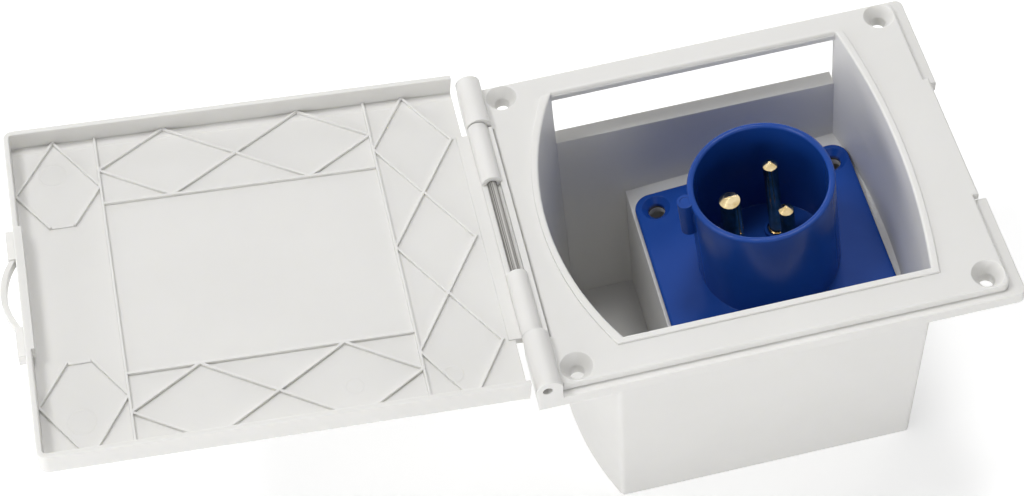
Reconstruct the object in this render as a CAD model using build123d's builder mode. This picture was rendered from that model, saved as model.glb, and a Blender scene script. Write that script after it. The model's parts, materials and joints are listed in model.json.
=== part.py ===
# Flush-mounted power inlet: a moulded wall box with a hinged lid, and a three-pin inlet on a sloped shelf.
# The panel plane is z = 0. +Z points out of the wall and +X runs from the hinge to the latch.
# The lid is drawn open, lying back beside the flange.
import os
from math import cos, degrees, atan2, hypot, radians, sin, tan

from build123d import *

os.makedirs("parts", exist_ok=True)

# Flange: a low lip all round and a raised plateau inside it
flange_length = 152.4
flange_width = 126.8
flange_height = 7.5
flange_skin = 2.8
flange_corner = 2.5
lip_height = 4.3
lip_end = 4.7
lip_side = 2.6
skirt_wall = 1.8
edge_round = 0.7
lip_round = 0.5

# Panel screws
screw_spacing_x = 131.6
screw_spacing_y = 110.6
screw_hole_d = 5.0
screw_sink_d = 10.4
screw_sink_angle = 75.0
screw_boss_d = 12.8

# Opening: straight near and far edges, bulged sides, a raised collar on three sides
opening_length = 98.8
opening_width = 100.7
opening_shift = 1.45
bulge_hinge = 13.1
bulge_latch = 5.0
collar_width = 2.2
collar_height = 0.8
collar_round = 0.7

# Box behind the flange
box_depth = 100.5
box_wall = 2.5
box_round = 2.0
box_draft = 8.5
bulge_draft = 3.4
sill_depth = 16.3
sill_reach = 5.5
sill_thickness = 2.5
bar_round = 2.0

# Sloped shelf that carries the inlet
shelf_tilt = 5.0
shelf_depth = 44.8
shelf_wall = 2.5
shelf_edge = 40.0
inlet_x = 13.3
inlet_y = 2.1

# Hinge
hinge_overhang = 0.3
hinge_rise = 2.2
barrel_d = 8.4
barrel_shift = 0.7
barrel_gap = 0.4
lid_barrel_d = 6.8
lid_barrel_length = 84.8
knuckle_gap = 0.4
foot_inset = 0.2
knuckle_inset = 1.0
strip_rise = 0.6
strip_depth = 1.2
pin_d = 3.1
pin_fit = 0.02
pin_run = 0.08
pin_recess = 2.0
pin_chamfer = 0.3
bare_pin_length = 37.6
bare_pin_sink = 0.2
groove_width = 1.2
groove_depth = 0.9

# Lid
lid_open = 7.37
lid_drop = 2.0
lid_skin = 2.2
lid_rim = 1.8
lid_seat = 0.3
lid_overhang = 0.4
lid_inset_side = 0.2
lid_corner = 3.0
lid_round = 2.0
lid_rim_round = 0.4
slot_start = 5.3
slot_overlap = 0.8
hinge_step_end = 7.4
hinge_step = 0.4

# Lid ribs: two across, two along, and diamonds between them
rib_width = 0.8
rib_height = 1.0
cross_rib_hinge = 35.3
cross_rib_free = 124.4
long_rib_spacing = 66.8
column_start = 9.2
short_rib_spacing = 53.0
short_rib_height = 0.35

# Latch: a bow to pull, a bead inside the lid's free rim and a ledge on the flange
notch_width = 50.0
bead_width = 47.5
bead_reach = 1.0
bead_depth = 4.6
bead_clearance = 0.4
bow_span = 34.0
bow_reach = 5.9
bow_width = 1.9
bow_lift = 0.3
bow_height = 3.5
pad_length = 11.0
pad_spacing = 37.2
pad_reach = 2.5
pad_height = 4.5

# Inlet housing
gasket_thickness = 0.8
gasket_margin = 1.0
plate_size = 77.4
plate_shift = 0.5
plate_corner = 6.0
plate_thickness = 3.2
plate_round = 1.0
plate_hole_spacing = 63.8
plate_hole_d = 6.0
plate_sink_d = 10.0
plate_sink_angle = 90.0
shroud_outer_d = 48.5
shroud_inner_d = 44.0
shroud_height = 43.5
shroud_depth = 43.7
rim_round = 0.9
floor_thickness = 2.2
lug_d = 5.5
lug_circle_d = 51.0
lug_length = 15.2
lug_drop = 0.1
lug_ring = 0.9
lug_ring_depth = 0.2

# Contact pins and their carrier
pin_circle_d = 22.0
contact_d = 5.0
earth_d = 7.0
tip_drop = 4.6
tip_height = 1.6
tip_flat = 0.9
root_step = 0.3
boss_gap = 0.5
boss_wall = 1.0
boss_height = 1.5
contact_fit = 0.05
collar_reach = 0.8
collar_thickness = 2.0
carrier_length = 14.0
carrier_clearance = 0.3
carrier_hole_clearance = 1.0
terminal_wall = 2.2
contact_bore_d = 4.0
earth_bore_d = 5.0
terminal_length = 11.0
terminal_bore_depth = 9.5
clamp_screw_d = 3.0
clamp_screw_length = 4.6
clamp_screw_setback = 4.8
clamp_screw_sink = 0.8
clamp_slot = 0.7
carrier_screw_circle_d = 28.0
carrier_screw_angle = 120.0
carrier_screw_spread = 240.0
carrier_screw_d = 3.0
carrier_screw_bite = 1.6
carrier_head_d = 5.6
carrier_head_height = 2.4
screw_fit = 0.05

# Worked out from the sizes above
plateau_half_width = flange_width / 2 - lip_side
plateau_latch_x = flange_length / 2 - lip_end
barrel_r = barrel_d / 2
hinge_x = -flange_length / 2 - hinge_overhang
hinge_z = flange_height + hinge_rise
barrel_x = hinge_x + barrel_shift
strip_reach = barrel_shift + barrel_r
plateau_hinge_x = barrel_x + barrel_r + barrel_gap
lid_end = flange_length / 2 + lid_overhang - hinge_x
lid_half_width = flange_width / 2 - lid_inset_side
rim_top = hinge_z - lip_height - lid_seat
catch_x = hinge_x + lid_end - lid_rim - bead_reach - bead_clearance
box_height = flange_height + box_depth
collar_top = flange_height + collar_height
far_y = opening_shift + opening_width / 2
sill_y = far_y - box_draft * (flange_height + sill_depth) / box_height
knuckle_start = lid_barrel_length / 2 + knuckle_gap
slot_end = lid_barrel_length / 2 - slot_overlap
tray_end = lid_end - lid_rim
tray_half_width = lid_half_width - lid_rim
rim_z = gasket_thickness + plate_thickness + shroud_height
shelf_edge_x = inlet_x - shelf_edge
shelf_slope = tan(radians(shelf_tilt))
housing_top = gasket_thickness + plate_thickness
floor_top = rim_z - shroud_depth
floor_bottom = floor_top - floor_thickness
carrier_bottom = floor_bottom - carrier_length
tip_top = rim_z - tip_drop
carrier_d = shroud_inner_d - 2 * carrier_clearance
terminal_end = carrier_bottom - terminal_length
clamp_z = terminal_end + clamp_screw_setback
contacts = [(earth_d, earth_bore_d, 180), (contact_d, contact_bore_d, 60), (contact_d, contact_bore_d, -60)]
pin_names = ["earth_pin", "line_pin", "neutral_pin"]

# Planes: the lid's own plane lies on the hinge axis, the inlet's plane on the shelf's top
lid_out = (-cos(radians(lid_open)), 0, sin(radians(lid_open)))
lid_up = (sin(radians(lid_open)), 0, cos(radians(lid_open)))
hinge_point = (hinge_x, 0, hinge_z)
lid_plane = Plane(origin=hinge_point, x_dir=lid_out, z_dir=lid_up)
hinge_section = Plane(origin=hinge_point, x_dir=lid_out, z_dir=(0, 1, 0))
inlet_plane = Plane(
    origin=(inlet_x, inlet_y, -shelf_depth),
    x_dir=(cos(radians(shelf_tilt)), 0, sin(radians(shelf_tilt))),
    z_dir=(-sin(radians(shelf_tilt)), 0, cos(radians(shelf_tilt))),
)
inlet_axis = Axis(inlet_plane.origin, inlet_plane.z_dir)


def shelf_z(x, below=0.0):
    return -shelf_depth + (x - inlet_x) * shelf_slope - below / cos(radians(shelf_tilt))


def barrel_outline(z, grow=0.0):
    # The opening's outline at one height, drafted inwards on the way down, or grown by a wall
    share = (flange_height - z) / box_height
    half_x = opening_length / 2 + grow
    near_y = opening_shift - opening_width / 2 - grow + box_draft * share
    far_y = opening_shift + opening_width / 2 + grow - box_draft * share
    middle_y = (near_y + far_y) / 2
    hinge_side_x = -half_x - bulge_hinge + bulge_draft * share
    latch_side_x = half_x + bulge_latch
    with BuildLine() as outline:
        Line((-half_x, near_y), (half_x, near_y))
        ThreePointArc((half_x, near_y), (latch_side_x, middle_y), (half_x, far_y))
        Line((half_x, far_y), (-half_x, far_y))
        ThreePointArc((-half_x, far_y), (hinge_side_x, middle_y), (-half_x, near_y))
    make_face(outline.edges())


def rectangle_between(x0, x1, y0, y1, mode=Mode.ADD):
    with Locations(((x0 + x1) / 2, (y0 + y1) / 2)):
        Rectangle(x1 - x0, y1 - y0, mode=mode)


def polygon(*points):
    with BuildLine() as outline:
        Polyline(*points, close=True)
    make_face(outline.edges())


def rib(start, end):
    # One straight rib between two points of the lid's inner face
    run = end[0] - start[0]
    rise = end[1] - start[1]
    middle = ((start[0] + end[0]) / 2, (start[1] + end[1]) / 2)
    with Locations(Location(middle, degrees(atan2(rise, run)))):
        Rectangle(hypot(run, rise) + rib_width, rib_width)


def diamond_ribs(u0, u1, v0, v1):
    middle_u = (u0 + u1) / 2
    middle_v = (v0 + v1) / 2
    corners = [(u0, middle_v), (middle_u, v1), (u1, middle_v), (middle_u, v0)]
    for start, end in zip(corners, corners[1:] + corners[:1]):
        rib(start, end)


def cut_corners(u0, u1, side, height):
    # Where a short rib cuts off the point of a corner diamond
    middle_u = (u0 + u1) / 2
    cut_v = side * short_rib_spacing / 2
    cut_half = (u1 - u0) / 2 * (abs(cut_v) - tray_half_width + height) / (height / 2)
    return (middle_u + cut_half, cut_v), (middle_u - cut_half, cut_v)


def cut_diamond_ribs(u0, u1, side, height):
    # A diamond by the lid's corner, without the point towards the latch
    middle_v = side * (tray_half_width - height / 2)
    peak = ((u0 + u1) / 2, side * tray_half_width)
    high_cut, low_cut = cut_corners(u0, u1, side, height)
    rib((u0, middle_v), peak)
    rib(peak, (u1, middle_v))
    rib((u1, middle_v), high_cut)
    rib(low_cut, (u0, middle_v))


def lies_on_opening(edge):
    # True for the edges that the recess cuts, by the middle of the edge
    return front_space.part.distance_to(Vertex(edge @ 0.5)) < collar_width / 4


def terminal_r(bore_d):
    return bore_d / 2 + terminal_wall


def pin_plane(angle):
    # The inlet's plane, moved onto one contact pin's axis and turned so that x points outwards
    outwards = Vector(pin_circle_d / 2, 0, 0).rotate(Axis.Z, angle)
    centre = inlet_plane.from_local_coords(outwards)
    return Plane(origin=centre, x_dir=centre - inlet_plane.origin, z_dir=inlet_plane.z_dir)


def clamp_plane(angle):
    # Across the rear barrel at the clamp screw's height, its normal pointing outwards
    pin = pin_plane(angle).offset(clamp_z)
    return Plane(origin=pin.origin, x_dir=pin.y_dir, z_dir=pin.x_dir)


# Space in front of the shelf: the whole recess that the lid covers
with BuildPart() as front_space:
    with BuildSketch(Plane.XY.offset(collar_top)):
        barrel_outline(collar_top)
    with BuildSketch(Plane.XY.offset(box_wall - box_depth)):
        barrel_outline(box_wall - box_depth)
    loft(ruled=True)
    with BuildSketch(Plane.XZ):
        polygon(
            (-flange_length, collar_top),
            (flange_length, collar_top),
            (flange_length, shelf_z(flange_length)),
            (shelf_edge_x, shelf_z(shelf_edge_x)),
            (shelf_edge_x, -box_depth),
            (-flange_length, -box_depth),
        )
    extrude(amount=flange_width, both=True, mode=Mode.INTERSECT)

# Space behind the shelf: open at the back, for the terminals and wires
with BuildPart() as rear_space:
    with BuildSketch(Plane.XY.offset(flange_height)):
        barrel_outline(flange_height)
    with BuildSketch(Plane.XY.offset(-box_depth)):
        barrel_outline(-box_depth)
    loft(ruled=True)
    with BuildSketch(Plane.XZ):
        polygon(
            (shelf_edge_x + shelf_wall, -box_depth),
            (shelf_edge_x + shelf_wall, shelf_z(shelf_edge_x + shelf_wall, shelf_wall)),
            (flange_length, shelf_z(flange_length, shelf_wall)),
            (flange_length, -box_depth),
        )
    extrude(amount=flange_width, both=True, mode=Mode.INTERSECT)

# Wall box: flange, recess, shelf and hinge knuckles in one moulding
with BuildPart() as wall_box:
    with BuildSketch() as lip_face:
        Rectangle(flange_length, flange_width)
        fillet(lip_face.vertices().group_by(Axis.X)[-1], flange_corner)
    extrude(amount=lip_height)
    fillet(wall_box.faces().sort_by(Axis.Z)[-1].edges(), lip_round)
    with BuildSketch() as plateau_face:
        rectangle_between(plateau_hinge_x, plateau_latch_x, -plateau_half_width, plateau_half_width)
        fillet(plateau_face.vertices().group_by(Axis.X)[-1], flange_corner)
    extrude(amount=flange_height)
    # Latch ledge: the plateau reaches out where the lip is cut away
    with BuildSketch(Plane.XY.offset(flange_height - flange_skin)):
        rectangle_between(plateau_latch_x - skirt_wall, catch_x, -notch_width / 2, notch_width / 2)
    extrude(amount=flange_skin)
    fillet(wall_box.faces().sort_by(Axis.Z)[-1].outer_wire().edges(), edge_round)
    with BuildSketch():
        rectangle_between(plateau_latch_x, flange_length, -notch_width / 2, notch_width / 2)
    extrude(amount=flange_height - flange_skin, mode=Mode.SUBTRACT)
    # Hollow back of the flange, with a boss left round each screw
    with BuildSketch():
        rectangle_between(
            plateau_hinge_x + skirt_wall,
            plateau_latch_x - skirt_wall,
            skirt_wall - plateau_half_width,
            plateau_half_width - skirt_wall,
        )
        with GridLocations(screw_spacing_x, screw_spacing_y, 2, 2):
            Circle(screw_boss_d / 2, mode=Mode.SUBTRACT)
    extrude(amount=flange_height - flange_skin, mode=Mode.SUBTRACT)
    # Box and the sill of its far window
    with BuildSketch(Plane.XY.offset(flange_height - edge_round)) as box_top:
        barrel_outline(flange_height - edge_round, box_wall)
        fillet(box_top.vertices(), box_round)
    with BuildSketch(Plane.XY.offset(-box_depth)) as box_bottom:
        barrel_outline(-box_depth, box_wall)
        fillet(box_bottom.vertices(), box_round)
    loft(ruled=True)
    with BuildSketch(Plane.XY.offset(-sill_depth)):
        rectangle_between(-opening_length / 2, opening_length / 2, sill_y, far_y + 2 * box_wall)
    extrude(amount=flange_height - flange_skin + sill_depth, mode=Mode.SUBTRACT)
    with BuildSketch(Plane.XY.offset(-sill_depth)):
        rectangle_between(-opening_length / 2, opening_length / 2, sill_y, sill_y + sill_reach)
    extrude(amount=-sill_thickness)
    # Rounded inner edge of the bar over the window
    with BuildSketch(Plane.YZ.offset(-opening_length / 2)):
        rectangle_between(far_y, far_y + bar_round, flange_height - bar_round, flange_height)
        with Locations((far_y + bar_round, flange_height - bar_round)):
            Circle(bar_round, mode=Mode.SUBTRACT)
    extrude(amount=opening_length, mode=Mode.SUBTRACT)
    # Collar on three sides of the opening, then the two spaces
    with BuildSketch(Plane.XY.offset(flange_height - edge_round)):
        barrel_outline(flange_height, collar_width)
        rectangle_between(-flange_length, flange_length, far_y, flange_width, mode=Mode.SUBTRACT)
    extrude(amount=edge_round + collar_height)
    add(front_space.part, mode=Mode.SUBTRACT)
    collar_edges = wall_box.faces().sort_by(Axis.Z)[-1].edges()
    fillet([edge for edge in collar_edges if lies_on_opening(edge)], collar_round)
    add(rear_space.part, mode=Mode.SUBTRACT)
    # Hinge knuckles at both ends, each on a foot that runs down to the panel and a web to the plateau
    for side, inset in ((1, 0), (-1, knuckle_inset)):
        foot_half = barrel_r - foot_inset
        with BuildSketch(Plane.XZ.offset(side * knuckle_start)):
            with Locations((barrel_x, hinge_z)):
                Circle(barrel_r)
            rectangle_between(barrel_x - foot_half, barrel_x + foot_half, 0, hinge_z)
        extrude(amount=side * (flange_width / 2 - inset - knuckle_start))
        with BuildSketch(Plane.XZ.offset(side * knuckle_start)):
            rectangle_between(hinge_x, plateau_hinge_x + skirt_wall, 0, flange_height)
        extrude(amount=side * (plateau_half_width - edge_round - knuckle_start))
    with BuildSketch(Plane.XZ):
        with Locations((hinge_x, hinge_z)):
            Circle(pin_d / 2 + pin_fit)
    extrude(amount=flange_width, both=True, mode=Mode.SUBTRACT)
    # Screw holes in the flange, and the shelf's holes for the inlet
    with Locations((0, 0, flange_height)):
        with GridLocations(screw_spacing_x, screw_spacing_y, 2, 2):
            CounterSinkHole(screw_hole_d / 2, screw_sink_d / 2, flange_height, screw_sink_angle)
    with BuildSketch(inlet_plane):
        Circle(carrier_d / 2 + carrier_hole_clearance)
        with GridLocations(plate_hole_spacing, plate_hole_spacing, 2, 2):
            Circle(plate_hole_d / 2)
    extrude(amount=-2 * shelf_wall, mode=Mode.SUBTRACT)
wall_box.part.label = "wall_box"
export_step(wall_box.part, "parts/wall_box.step")

# Lid: a shallow tray with a rim on three sides, a hinge barrel, inner ribs and a bow latch
with BuildPart() as lid:
    with BuildSketch(lid_plane.offset(-lid_drop - lid_skin)) as lid_face:
        rectangle_between(0, lid_end, -lid_half_width, lid_half_width)
        fillet(lid_face.vertices().group_by(Axis.X)[-1], lid_corner)
    extrude(amount=lid_skin + lid_drop + rim_top)
    outer_face = lid.faces().sort_by(Axis(hinge_point, lid_up))[0]
    fillet(outer_face.edges().sort_by(Axis(hinge_point, lid_out))[1:], lid_round)
    with BuildSketch(lid_plane.offset(-lid_drop)) as tray_face:
        rectangle_between(-barrel_d, tray_end, -tray_half_width, tray_half_width)
        fillet(tray_face.vertices().group_by(Axis.X)[-1], lid_corner - lid_rim)
    extrude(amount=lid_drop + rim_top, mode=Mode.SUBTRACT)
    rim_edges = lid.faces().sort_by(Axis(hinge_point, lid_up))[-1].edges()
    fillet(rim_edges.sort_by(Axis(hinge_point, lid_out))[2:], lid_rim_round)
    with BuildSketch(lid_plane.offset(-lid_drop)):
        rectangle_between(0, hinge_step_end, -slot_end, slot_end)
    extrude(amount=hinge_step)
    with BuildSketch(lid_plane.offset(-lid_drop - lid_skin)):
        rectangle_between(-barrel_d, slot_start, slot_end, flange_width)
        rectangle_between(-barrel_d, slot_start, -flange_width, -slot_end)
    extrude(amount=lid_skin + lid_drop + rim_top, mode=Mode.SUBTRACT)
    # Barrel with a strip along its flange side, cut open along its middle so that the pin shows
    with BuildSketch(hinge_section):
        Circle(lid_barrel_d / 2)
        rectangle_between(-strip_reach, 0, -strip_depth, strip_rise)
    extrude(amount=lid_barrel_length / 2, both=True)
    with BuildSketch(hinge_section):
        rectangle_between(-barrel_d, barrel_d, strip_rise, barrel_d)
        rectangle_between(-pin_d / 2 - groove_width, barrel_d, -bare_pin_sink, barrel_d)
        rectangle_between(-pin_d / 2 - groove_width, 0, -groove_depth, 0)
    extrude(amount=bare_pin_length / 2, both=True, mode=Mode.SUBTRACT)
    with BuildSketch(hinge_section):
        Circle(pin_d / 2 + pin_run)
    extrude(amount=lid_barrel_length, both=True, mode=Mode.SUBTRACT)
    # Ribs on the inner face
    with BuildSketch(lid_plane.offset(-lid_drop)):
        for u in (cross_rib_hinge, cross_rib_free):
            rib((u, -tray_half_width), (u, tray_half_width))
        for v in (-long_rib_spacing / 2, long_rib_spacing / 2):
            rib((cross_rib_hinge, v), (cross_rib_free, v))
        half_run = (cross_rib_free - cross_rib_hinge) / 2
        for start in (cross_rib_hinge, cross_rib_hinge + half_run):
            diamond_ribs(start, start + half_run, long_rib_spacing / 2, tray_half_width)
            diamond_ribs(start, start + half_run, -tray_half_width, -long_rib_spacing / 2)
        third = 2 * tray_half_width / 3
        for start in (-tray_half_width, third - tray_half_width, 2 * third - tray_half_width):
            diamond_ribs(column_start, cross_rib_hinge, start, start + third)
        for side in (-1, 1):
            cut_diamond_ribs(cross_rib_free, tray_end, side, third)
    extrude(amount=rib_height)
    with BuildSketch(lid_plane.offset(-lid_drop)):
        for side in (-1, 1):
            rib(*cut_corners(cross_rib_free, tray_end, side, third))
    extrude(amount=short_rib_height)
    # Latch bead inside the free rim, pads and bow outside it
    with BuildSketch(lid_plane.offset(rim_top - bead_depth)):
        rectangle_between(tray_end - bead_reach, tray_end + lid_rim / 2, -bead_width / 2, bead_width / 2)
    extrude(amount=bead_depth)
    with BuildSketch(lid_plane.offset(-lid_drop)):
        for v in (-pad_spacing / 2, pad_spacing / 2):
            half = pad_length / 2
            rectangle_between(lid_end - lid_rim / 2, lid_end + pad_reach, v - half, v + half)
    extrude(amount=pad_height)
    with BuildSketch(lid_plane.offset(bow_lift - lid_drop)):
        root = lid_end - lid_rim / 2
        outer = bow_span / 2
        inner = outer - bow_width
        with BuildLine():
            ThreePointArc((root, -outer), (lid_end + bow_reach, 0), (root, outer))
            Line((root, outer), (root, inner))
            ThreePointArc((root, inner), (lid_end + bow_reach - bow_width, 0), (root, -inner))
            Line((root, -inner), (root, -outer))
        make_face()
    extrude(amount=bow_height)
lid.part.label = "lid"
export_step(lid.part, "parts/lid.step")

# Hinge pin: a plain steel rod, sunk a little below the outer knuckle faces
with BuildPart() as hinge_pin:
    with BuildSketch(Plane.XZ):
        with Locations((hinge_x, hinge_z)):
            Circle(pin_d / 2)
    extrude(amount=flange_width / 2 - pin_recess, both=True)
    chamfer(hinge_pin.edges().filter_by(GeomType.CIRCLE), pin_chamfer)
hinge_pin.part.label = "hinge_pin"
export_step(hinge_pin.part, "parts/hinge_pin.step")

# Inlet housing: plate and shroud in one moulding, with a floor that the pins pass through
with BuildPart() as inlet_housing:
    with BuildSketch(inlet_plane.offset(gasket_thickness)):
        with Locations((-plate_shift, 0)):
            RectangleRounded(plate_size, plate_size, plate_corner)
    extrude(amount=plate_thickness)
    fillet(inlet_housing.faces().sort_by(inlet_axis)[-1].edges(), plate_round)
    with BuildSketch(inlet_plane.offset(gasket_thickness)):
        Circle(shroud_outer_d / 2)
    extrude(amount=plate_thickness + shroud_height)
    with BuildSketch(inlet_plane.offset(floor_top)):
        Circle(shroud_inner_d / 2)
    extrude(amount=shroud_depth, mode=Mode.SUBTRACT)
    fillet(inlet_housing.faces().sort_by(inlet_axis)[-1].edges(), rim_round)
    with BuildSketch(inlet_plane.offset(rim_z - lug_drop - lug_length)):
        with Locations((-lug_circle_d / 2, 0)):
            Circle(lug_d / 2)
        Circle((shroud_inner_d + shroud_outer_d) / 4, mode=Mode.SUBTRACT)
    extrude(amount=lug_length)
    with BuildSketch(inlet_plane.offset(rim_z - lug_drop)):
        with Locations((-lug_circle_d / 2, 0)):
            Circle(lug_d / 2 - lug_ring)
        Circle(shroud_outer_d / 2, mode=Mode.SUBTRACT)
    extrude(amount=-lug_ring_depth, mode=Mode.SUBTRACT)
    with BuildSketch(inlet_plane.offset(gasket_thickness)):
        Circle(shroud_inner_d / 2)
    extrude(amount=floor_bottom - gasket_thickness, mode=Mode.SUBTRACT)
    with BuildSketch(inlet_plane.offset(floor_top)):
        for diameter, bore_d, angle in contacts:
            with PolarLocations(pin_circle_d / 2, 1, angle):
                Circle(diameter / 2 + root_step + boss_gap + boss_wall)
                Circle(diameter / 2 + root_step + boss_gap, mode=Mode.SUBTRACT)
    extrude(amount=boss_height)
    with BuildSketch(inlet_plane.offset(floor_bottom)):
        for diameter, bore_d, angle in contacts:
            with PolarLocations(pin_circle_d / 2, 1, angle):
                Circle(diameter / 2 + root_step + contact_fit)
    extrude(amount=floor_thickness, mode=Mode.SUBTRACT)
    with BuildSketch(inlet_plane.offset(floor_bottom)):
        with PolarLocations(carrier_screw_circle_d / 2, 2, carrier_screw_angle, carrier_screw_spread):
            Circle(carrier_screw_d / 2 + screw_fit)
    extrude(amount=carrier_screw_bite, mode=Mode.SUBTRACT)
    with Locations(inlet_plane.offset(housing_top)):
        with GridLocations(plate_hole_spacing, plate_hole_spacing, 2, 2):
            CounterSinkHole(plate_hole_d / 2, plate_sink_d / 2, plate_thickness, plate_sink_angle)
inlet_housing.part.label = "inlet_housing"
export_step(inlet_housing.part, "parts/inlet_housing.step")

# Gasket between the plate and the shelf
with BuildPart() as inlet_gasket:
    with BuildSketch(inlet_plane):
        gasket_size = plate_size - 2 * gasket_margin
        with Locations((-plate_shift, 0)):
            RectangleRounded(gasket_size, gasket_size, plate_corner - gasket_margin)
        Circle(carrier_d / 2 + carrier_hole_clearance, mode=Mode.SUBTRACT)
        with GridLocations(plate_hole_spacing, plate_hole_spacing, 2, 2):
            Circle(plate_hole_d / 2, mode=Mode.SUBTRACT)
    extrude(amount=gasket_thickness)
inlet_gasket.part.label = "inlet_gasket"
export_step(inlet_gasket.part, "parts/inlet_gasket.step")

# Pin carrier: a round block that seats against the housing's floor and traps the pins' collars
with BuildPart() as pin_carrier:
    with BuildSketch(inlet_plane.offset(carrier_bottom)):
        Circle(carrier_d / 2)
        for diameter, bore_d, angle in contacts:
            with PolarLocations(pin_circle_d / 2, 1, angle):
                Circle(terminal_r(bore_d) + contact_fit, mode=Mode.SUBTRACT)
        with PolarLocations(carrier_screw_circle_d / 2, 2, carrier_screw_angle, carrier_screw_spread):
            Circle(carrier_screw_d / 2 + screw_fit, mode=Mode.SUBTRACT)
    extrude(amount=carrier_length)
    with BuildSketch(inlet_plane.offset(floor_bottom - collar_thickness)):
        for diameter, bore_d, angle in contacts:
            with PolarLocations(pin_circle_d / 2, 1, angle):
                Circle(terminal_r(bore_d) + collar_reach + contact_fit)
    extrude(amount=collar_thickness, mode=Mode.SUBTRACT)
pin_carrier.part.label = "pin_carrier"
export_step(pin_carrier.part, "parts/pin_carrier.step")

# Contact pins: a pin with a conical tip on a thicker root, a collar, and a bored rear barrel
# with a clamp screw's hole
for name, (diameter, bore_d, angle) in zip(pin_names, contacts):
    place = pin_plane(angle)
    with BuildPart() as contact_pin:
        with BuildSketch(place.offset(floor_bottom)):
            Circle(diameter / 2)
        extrude(amount=tip_top - tip_height - floor_bottom)
        with BuildSketch(place.offset(tip_top - tip_height)):
            Circle(diameter / 2)
        with BuildSketch(place.offset(tip_top)):
            Circle(tip_flat / 2)
        loft()
        with BuildSketch(place.offset(floor_bottom)):
            Circle(diameter / 2 + root_step)
        extrude(amount=floor_thickness + boss_height)
        with BuildSketch(place.offset(floor_bottom)):
            Circle(terminal_r(bore_d) + collar_reach)
        extrude(amount=-collar_thickness)
        with BuildSketch(place.offset(floor_bottom)):
            Circle(terminal_r(bore_d))
        extrude(amount=terminal_end - floor_bottom)
        with BuildSketch(place.offset(terminal_end)):
            Circle(bore_d / 2)
        extrude(amount=terminal_bore_depth, mode=Mode.SUBTRACT)
        with BuildSketch(clamp_plane(angle)):
            Circle(clamp_screw_d / 2 + screw_fit)
        extrude(amount=terminal_r(bore_d) + collar_reach, mode=Mode.SUBTRACT)
    contact_pin.part.label = name
    export_step(contact_pin.part, f"parts/{name}.step")

# Clamp screws: one slotted screw in each rear barrel, its end inside the bore
with BuildPart() as terminal_screws:
    for diameter, bore_d, angle in contacts:
        screw_start = bore_d / 2 - clamp_screw_sink
        with BuildSketch(clamp_plane(angle).offset(screw_start)):
            Circle(clamp_screw_d / 2)
        extrude(amount=clamp_screw_length)
        with BuildSketch(clamp_plane(angle).offset(screw_start + clamp_screw_length)):
            Rectangle(2 * clamp_screw_d, clamp_slot)
        extrude(amount=-clamp_slot, mode=Mode.SUBTRACT)
terminal_screws.part.label = "terminal_screws"
export_step(terminal_screws.part, "parts/terminal_screws.step")

# Carrier screws: from the back, through the carrier into the housing's floor
with BuildPart() as carrier_screws:
    with BuildSketch(inlet_plane.offset(carrier_bottom)):
        with PolarLocations(carrier_screw_circle_d / 2, 2, carrier_screw_angle, carrier_screw_spread):
            Circle(carrier_screw_d / 2)
    extrude(amount=carrier_length + carrier_screw_bite)
    with BuildSketch(inlet_plane.offset(carrier_bottom)):
        with PolarLocations(carrier_screw_circle_d / 2, 2, carrier_screw_angle, carrier_screw_spread):
            Circle(carrier_head_d / 2)
    extrude(amount=-carrier_head_height)
    with BuildSketch(inlet_plane.offset(carrier_bottom - carrier_head_height)):
        with PolarLocations(carrier_screw_circle_d / 2, 2, carrier_screw_angle, carrier_screw_spread):
            Rectangle(2 * carrier_head_d, clamp_slot)
    extrude(amount=carrier_head_height / 2, mode=Mode.SUBTRACT)
carrier_screws.part.label = "carrier_screws"
export_step(carrier_screws.part, "parts/carrier_screws.step")
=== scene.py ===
import json
import math
import bpy
import bmesh
from mathutils import Euler, Matrix, Vector


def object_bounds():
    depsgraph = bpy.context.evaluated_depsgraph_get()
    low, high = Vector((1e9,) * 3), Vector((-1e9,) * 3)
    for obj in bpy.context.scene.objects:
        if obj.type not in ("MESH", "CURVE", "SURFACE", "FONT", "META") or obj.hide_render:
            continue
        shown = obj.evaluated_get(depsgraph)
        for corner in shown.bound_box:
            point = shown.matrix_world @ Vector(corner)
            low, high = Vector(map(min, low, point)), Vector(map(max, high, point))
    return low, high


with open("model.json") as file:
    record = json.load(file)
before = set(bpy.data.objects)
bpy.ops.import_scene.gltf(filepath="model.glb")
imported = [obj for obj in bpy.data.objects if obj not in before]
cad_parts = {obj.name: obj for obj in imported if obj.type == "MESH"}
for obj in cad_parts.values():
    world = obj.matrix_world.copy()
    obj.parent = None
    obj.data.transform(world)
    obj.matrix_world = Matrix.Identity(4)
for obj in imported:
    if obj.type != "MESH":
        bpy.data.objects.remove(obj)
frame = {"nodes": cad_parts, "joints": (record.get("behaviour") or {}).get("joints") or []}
cadBox = [list(corner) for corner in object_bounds()]
nodes = frame["nodes"]
lidHinge = frame["joints"][0]
print("frame loaded:", len(nodes), "nodes")

# Shader helpers


def addNode(tree, kind, values=None, **settings):
    node = tree.nodes.new(kind)
    for key, value in settings.items():
        setattr(node, key, value)
    for key, value in (values or {}).items():
        node.inputs[key].default_value = value
    return node


def newMaterial(name):
    material = bpy.data.materials.new(name)
    material.use_nodes = True
    tree = material.node_tree
    tree.nodes.clear()
    output = addNode(tree, "ShaderNodeOutputMaterial")
    shader = addNode(tree, "ShaderNodeBsdfPrincipled")
    tree.links.new(shader.outputs["BSDF"], output.inputs["Surface"])
    return material, tree, shader


def objectPoint(tree, scale=(1, 1, 1), move=(0, 0, 0), turn=(0, 0, 0)):
    coords = addNode(tree, "ShaderNodeTexCoord")
    mapping = addNode(tree, "ShaderNodeMapping", {"Location": move, "Rotation": turn, "Scale": scale})
    tree.links.new(coords.outputs["Object"], mapping.inputs["Vector"])
    return mapping.outputs["Vector"]


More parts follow.
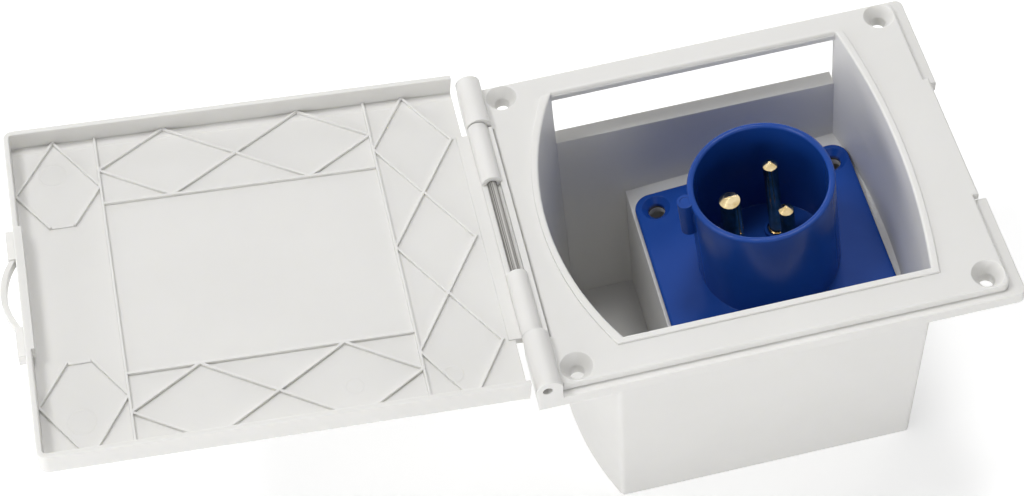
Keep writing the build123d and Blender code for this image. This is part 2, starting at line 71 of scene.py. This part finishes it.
def noise(tree, point, scale, detail, rough):
    texture = addNode(tree, "ShaderNodeTexNoise", {"Scale": scale, "Detail": detail, "Roughness": rough})
    tree.links.new(point, texture.inputs["Vector"])
    return texture.outputs["Fac"]


def toneRamp(tree, value, span, low, high):
    node = addNode(tree, "ShaderNodeValToRGB")
    for element, place, colour in zip(node.color_ramp.elements, span, (low, high)):
        element.position = place
        element.color = (*colour, 1.0)
    tree.links.new(value, node.inputs["Fac"])
    return node.outputs["Color"]


def remap(tree, value, low, high):
    node = addNode(tree, "ShaderNodeMapRange", {"To Min": low, "To Max": high})
    tree.links.new(value, node.inputs["Value"])
    return node.outputs["Result"]


def mathNode(tree, operation, first, second=0.0):
    node = addNode(tree, "ShaderNodeMath", operation=operation)
    for socket, value in zip(node.inputs, (first, second)):
        if isinstance(value, float):
            socket.default_value = value
        else:
            tree.links.new(value, socket)
    return node.outputs["Value"]


def bump(tree, height, strength, distance, normal):
    node = addNode(tree, "ShaderNodeBump", {"Strength": strength, "Distance": distance})
    tree.links.new(height, node.inputs["Height"])
    tree.links.new(normal, node.inputs["Normal"])
    return node.outputs["Normal"]


def softEdges(tree, radius):
    return addNode(tree, "ShaderNodeBevel", {"Radius": radius}, samples=6).outputs["Normal"]


# Ejector rings and a sink line beside the rims, on the lid's inner face only

lidMarking = dict(
    openAngle=math.radians(180 - lidHinge["range_deg"][1]),  # the open lid's slope, up to its free end
    hingePoint=Vector(lidHinge["pos_m"]),
    rings=[  # distance from the hinge, place along it, radius
        (0.1390, 0.0480, 0.0043),
        (0.0572, -0.0497, 0.0027),
        (0.0267, -0.0508, 0.0030),
        (0.1390, -0.0480, 0.0043),
    ],
    sinkLine=0.0581,  # from the lid's middle line, on both sides
    innerFace=-0.0028,  # a level between the lid's two faces
    lineWidth=0.0004,
    strength=0.6,
    height=0.00012,
)


def thinLine(tree, value, place, width):
    away = mathNode(tree, "ABSOLUTE", mathNode(tree, "SUBTRACT", value, place))
    fade = addNode(tree, "ShaderNodeMapRange", {"From Max": width, "To Min": 1.0, "To Max": 0.0})
    tree.links.new(away, fade.inputs["Value"])
    return fade.outputs["Result"]


def lidMarks(tree, setting):
    turn = Euler((0, -setting["openAngle"], 0))
    move = -(turn.to_matrix() @ setting["hingePoint"])
    # From the hinge, with x towards the flange and z out of the lid's inner face
    point = objectPoint(tree, move=move, turn=turn)
    axes = addNode(tree, "ShaderNodeSeparateXYZ")
    tree.links.new(point, axes.inputs["Vector"])
    flat = addNode(tree, "ShaderNodeCombineXYZ")
    tree.links.new(axes.outputs["X"], flat.inputs["X"])
    tree.links.new(axes.outputs["Y"], flat.inputs["Y"])
    fromMiddle = mathNode(tree, "ABSOLUTE", axes.outputs["Y"])
    height = thinLine(tree, fromMiddle, setting["sinkLine"], setting["lineWidth"])
    for fromHinge, along, radius in setting["rings"]:
        away = addNode(tree, "ShaderNodeVectorMath", operation="DISTANCE")
        tree.links.new(flat.outputs["Vector"], away.inputs[0])
        away.inputs[1].default_value = (-fromHinge, along, 0)
        ring = thinLine(tree, away.outputs["Value"], radius, setting["lineWidth"])
        height = mathNode(tree, "MAXIMUM", height, ring)
    inside = mathNode(tree, "GREATER_THAN", axes.outputs["Z"], setting["innerFace"])
    return mathNode(tree, "MULTIPLY", height, inside)


# Moulded plastics and the seal: a spark-eroded grain, faint flow clouds and softened edges

mouldPattern = dict(
    clouds=(28, 4, 0.55),  # scale, detail and roughness of the noise
    sheen=(160, 3, 0.5),
    grain=(2, 0.6),  # detail and roughness, with the scale below
    cloudSpan=(0.3, 0.7),
    grainHeight=0.00006,
    ior=1.5,
)
whiteMoulding = dict(
    low=(0.755, 0.748, 0.729), high=(0.779, 0.772, 0.753), rough=(0.40, 0.52), gloss=0.5,
    grain=5200, grainStrength=0.05, edge=0.0004,
    glow=dict(weight=0.6, radius=(1.0, 1.0, 0.9), depth=0.0012),  # light bleeds through thin ribs and rims
)
blueMoulding = dict(
    low=(0.008, 0.052, 0.27), high=(0.013, 0.065, 0.33), rough=(0.15, 0.24), gloss=0.18,
    grain=4200, grainStrength=0.03, edge=0.0003,
)
darkMoulding = dict(
    low=(0.016, 0.016, 0.018), high=(0.028, 0.028, 0.03), rough=(0.42, 0.55), gloss=0.5,
    grain=4200, grainStrength=0.08, edge=0.0003,
)
sealRubber = dict(
    low=(0.012, 0.012, 0.012), high=(0.03, 0.03, 0.03), rough=(0.6, 0.8), gloss=0.5,
    grain=2600, grainStrength=0.15, edge=0.0002,
)


def mouldedPlastic(name, setting, marks=None):
    material, tree, shader = newMaterial(name)
    point = objectPoint(tree)
    clouds = noise(tree, point, *mouldPattern["clouds"])
    sheen = noise(tree, point, *mouldPattern["sheen"])
    grain = noise(tree, point, setting["grain"], *mouldPattern["grain"])
    colour = toneRamp(tree, clouds, mouldPattern["cloudSpan"], setting["low"], setting["high"])
    tree.links.new(colour, shader.inputs["Base Color"])
    tree.links.new(remap(tree, sheen, *setting["rough"]), shader.inputs["Roughness"])
    shader.inputs["IOR"].default_value = mouldPattern["ior"]
    shader.inputs["Specular IOR Level"].default_value = setting["gloss"]
    if "glow" in setting:
        shader.inputs["Subsurface Weight"].default_value = setting["glow"]["weight"]
        shader.inputs["Subsurface Radius"].default_value = setting["glow"]["radius"]
        shader.inputs["Subsurface Scale"].default_value = setting["glow"]["depth"]
    normal = softEdges(tree, setting["edge"])
    if marks is not None:
        normal = bump(tree, lidMarks(tree, marks), marks["strength"], marks["height"], normal)
    normal = bump(tree, grain, setting["grainStrength"], mouldPattern["grainHeight"], normal)
    tree.links.new(normal, shader.inputs["Normal"])
    return material


# Metals: turned brass contacts, a drawn steel rod and plated screws

metalPattern = dict(
    lines=(1.0, 2, 0.5),  # scale, detail and roughness of the noise
    stains=(300, 3, 0.6),
    toneSpan=(0.35, 0.65),
    lineHeight=0.00003,
    edge=0.0002,
)
brassTurning = dict(
    low=(0.60, 0.45, 0.22), high=(0.80, 0.66, 0.40), rough=(0.10, 0.20),
    lines=(900, 900, 9000), relief=0.12, streaked=False,
)
steelDrawing = dict(
    low=(0.09, 0.088, 0.085), high=(0.44, 0.43, 0.41), rough=(0.30, 0.46),
    lines=(3000, 9, 3000), relief=0.4, streaked=True,
)
screwPlating = dict(
    low=(0.50, 0.50, 0.49), high=(0.66, 0.66, 0.65), rough=(0.25, 0.40),
    lines=(1800, 1800, 1800), relief=0.12, streaked=False,
)


def workedMetal(name, setting):
    material, tree, shader = newMaterial(name)
    lines = noise(tree, objectPoint(tree, setting["lines"]), *metalPattern["lines"])
    tone = lines  # a streaked metal takes its colour from the lines too
    if not setting["streaked"]:
        tone = noise(tree, objectPoint(tree), *metalPattern["stains"])
    colour = toneRamp(tree, tone, metalPattern["toneSpan"], setting["low"], setting["high"])
    tree.links.new(colour, shader.inputs["Base Color"])
    tree.links.new(remap(tree, lines, *setting["rough"]), shader.inputs["Roughness"])
    shader.inputs["Metallic"].default_value = 1.0
    edges = softEdges(tree, metalPattern["edge"])
    normal = bump(tree, lines, setting["relief"], metalPattern["lineHeight"], edges)
    tree.links.new(normal, shader.inputs["Normal"])
    return material


finishes = {
    "whiteMoulding": mouldedPlastic("whiteMoulding", whiteMoulding),
    "lidMoulding": mouldedPlastic("lidMoulding", whiteMoulding, lidMarking),
    "blueMoulding": mouldedPlastic("blueMoulding", blueMoulding),
    "darkMoulding": mouldedPlastic("darkMoulding", darkMoulding),
    "sealRubber": mouldedPlastic("sealRubber", sealRubber),
    "brassTurning": workedMetal("brassTurning", brassTurning),
    "steelDrawing": workedMetal("steelDrawing", steelDrawing),
    "screwPlating": workedMetal("screwPlating", screwPlating),
}

nodeFinish = {
    "wall_box": "whiteMoulding",
    "lid": "lidMoulding",
    "hinge_pin": "steelDrawing",
    "inlet_housing": "blueMoulding",
    "inlet_gasket": "sealRubber",
    "pin_carrier": "darkMoulding",
    "earth_pin": "brassTurning",
    "line_pin": "brassTurning",
    "neutral_pin": "brassTurning",
    "terminal_screws": "screwPlating",
    "carrier_screws": "screwPlating",
}
for nodeName, finishName in nodeFinish.items():
    nodes[nodeName].data.materials.clear()
    nodes[nodeName].data.materials.append(finishes[finishName])
print("finishes assigned:", len(nodeFinish))

# Stage: a pale floor under the box and a white sky, both brighter to the eye than as light on the object

stageSetting = dict(size=6.0, floorColour=(0.90, 0.90, 0.90), floorRough=0.9, glow=0.40, sky=0.22)


def seenDirectly(tree):
    path = addNode(tree, "ShaderNodeLightPath")
    mirrored = mathNode(tree, "MAXIMUM", path.outputs["Is Glossy Ray"], path.outputs["Is Transmission Ray"])
    return mathNode(tree, "MAXIMUM", path.outputs["Is Camera Ray"], mirrored)


def buildFloor(setting):
    mesh = bmesh.new()
    bmesh.ops.create_grid(mesh, x_segments=1, y_segments=1, size=setting["size"] / 2)
    bmesh.ops.translate(mesh, verts=mesh.verts, vec=(0, 0, cadBox[0][2]))
    data = bpy.data.meshes.new("studioFloor")
    mesh.to_mesh(data)
    mesh.free()
    floor = bpy.data.objects.new("studioFloor", data)
    bpy.context.scene.collection.objects.link(floor)
    material, tree, shader = newMaterial("studioFloor")
    shader.inputs["Base Color"].default_value = (*setting["floorColour"], 1)
    shader.inputs["Roughness"].default_value = setting["floorRough"]
    shader.inputs["Specular IOR Level"].default_value = 0.0
    shader.inputs["Emission Color"].default_value = (1, 1, 1, 1)
    glow = remap(tree, seenDirectly(tree), 0.0, setting["glow"])
    tree.links.new(glow, shader.inputs["Emission Strength"])
    data.materials.append(material)


def buildSky(setting):
    world = bpy.data.worlds.new("studioSky")
    bpy.context.scene.world = world
    world.use_nodes = True
    tree = world.node_tree
    tree.nodes.clear()
    output = addNode(tree, "ShaderNodeOutputWorld")
    background = addNode(tree, "ShaderNodeBackground", {"Color": (1, 1, 1, 1)})
    tree.links.new(remap(tree, seenDirectly(tree), setting["sky"], 1.0), background.inputs["Strength"])
    tree.links.new(background.outputs["Background"], output.inputs["Surface"])


# Lamps: two keys from above, low glows from the left and behind, fills for the near wall and under the lid

lampSetting = [
    dict(name="leftKey", place=(-0.62, 0.14, 1.22), aim=(-0.08, 0, 0), size=(0.40, 0.40), power=6.1),
    dict(name="overKey", place=(0.14, 0.38, 1.34), aim=(0, 0, 0), size=(0.35, 0.35), power=6.0),
    dict(name="leftGlow", place=(-1.35, -0.25, 0.42), aim=(0, 0, 0), size=(1.2, 0.7), power=4.6),
    dict(name="backGlow", place=(0, 1.30, 0.32), aim=(0, 0, 0), size=(2.4, 0.8), power=7.0),
    dict(name="frontFill", place=(0, -1.25, 0.13), aim=(-0.03, 0, -0.02), size=(0.8, 0.8), power=5.2),
    dict(name="underLid", place=(-0.9, -0.8, -0.02), aim=(-0.05, -0.05, -0.06), size=(0.5, 0.5), power=4.2),
]


def buildLamp(setting):
    lamp = bpy.data.lights.new(setting["name"], "AREA")
    lamp.shape = "ELLIPSE"
    lamp.size, lamp.size_y = setting["size"]
    lamp.energy = setting["power"]
    holder = bpy.data.objects.new(setting["name"], lamp)
    bpy.context.scene.collection.objects.link(holder)
    place = Vector(setting["place"])
    turn = (Vector(setting["aim"]) - place).to_track_quat("-Z", "Y")
    holder.matrix_world = Matrix.Translation(place) @ turn.to_matrix().to_4x4()


buildFloor(stageSetting)
buildSky(stageSetting)
for setting in lampSetting:
    buildLamp(setting)
print("stage and lamps ready")

# Camera: the photograph's view from above the near side, rolled a little

cameraSetting = dict(
    target=(-0.075505, -0.006414, 0.0075), distance=0.71842, elevation=54.053, azimuth=-6.392, roll=-7.263,
    lens=79.01, sensor=36.0, nearClip=0.01,
)


def buildCamera(setting):
    camera = bpy.data.cameras.new("photoCamera")
    camera.lens = setting["lens"]
    camera.sensor_width = setting["sensor"]
    camera.sensor_fit = "HORIZONTAL"
    camera.clip_start = setting["nearClip"]
    holder = bpy.data.objects.new("photoCamera", camera)
    bpy.context.scene.collection.objects.link(holder)
    rise = math.radians(setting["elevation"])
    swing = math.radians(setting["azimuth"])
    away = Vector((math.sin(swing) * math.cos(rise), -math.cos(swing) * math.cos(rise), math.sin(rise)))
    right = (-away).cross(Vector((0, 0, 1))).normalized()
    up = right.cross(-away)
    roll = math.radians(setting["roll"])
    rolledRight = right * math.cos(roll) + up * math.sin(roll)
    rolledUp = up * math.cos(roll) - right * math.sin(roll)
    place = Vector(setting["target"]) + away * setting["distance"]
    turn = Matrix((rolledRight, rolledUp, away)).transposed()
    holder.matrix_world = Matrix.Translation(place) @ turn.to_4x4()
    bpy.context.scene.camera = holder


buildCamera(cameraSetting)
bpy.context.scene.view_settings.view_transform = "Standard"
print("camera ready")
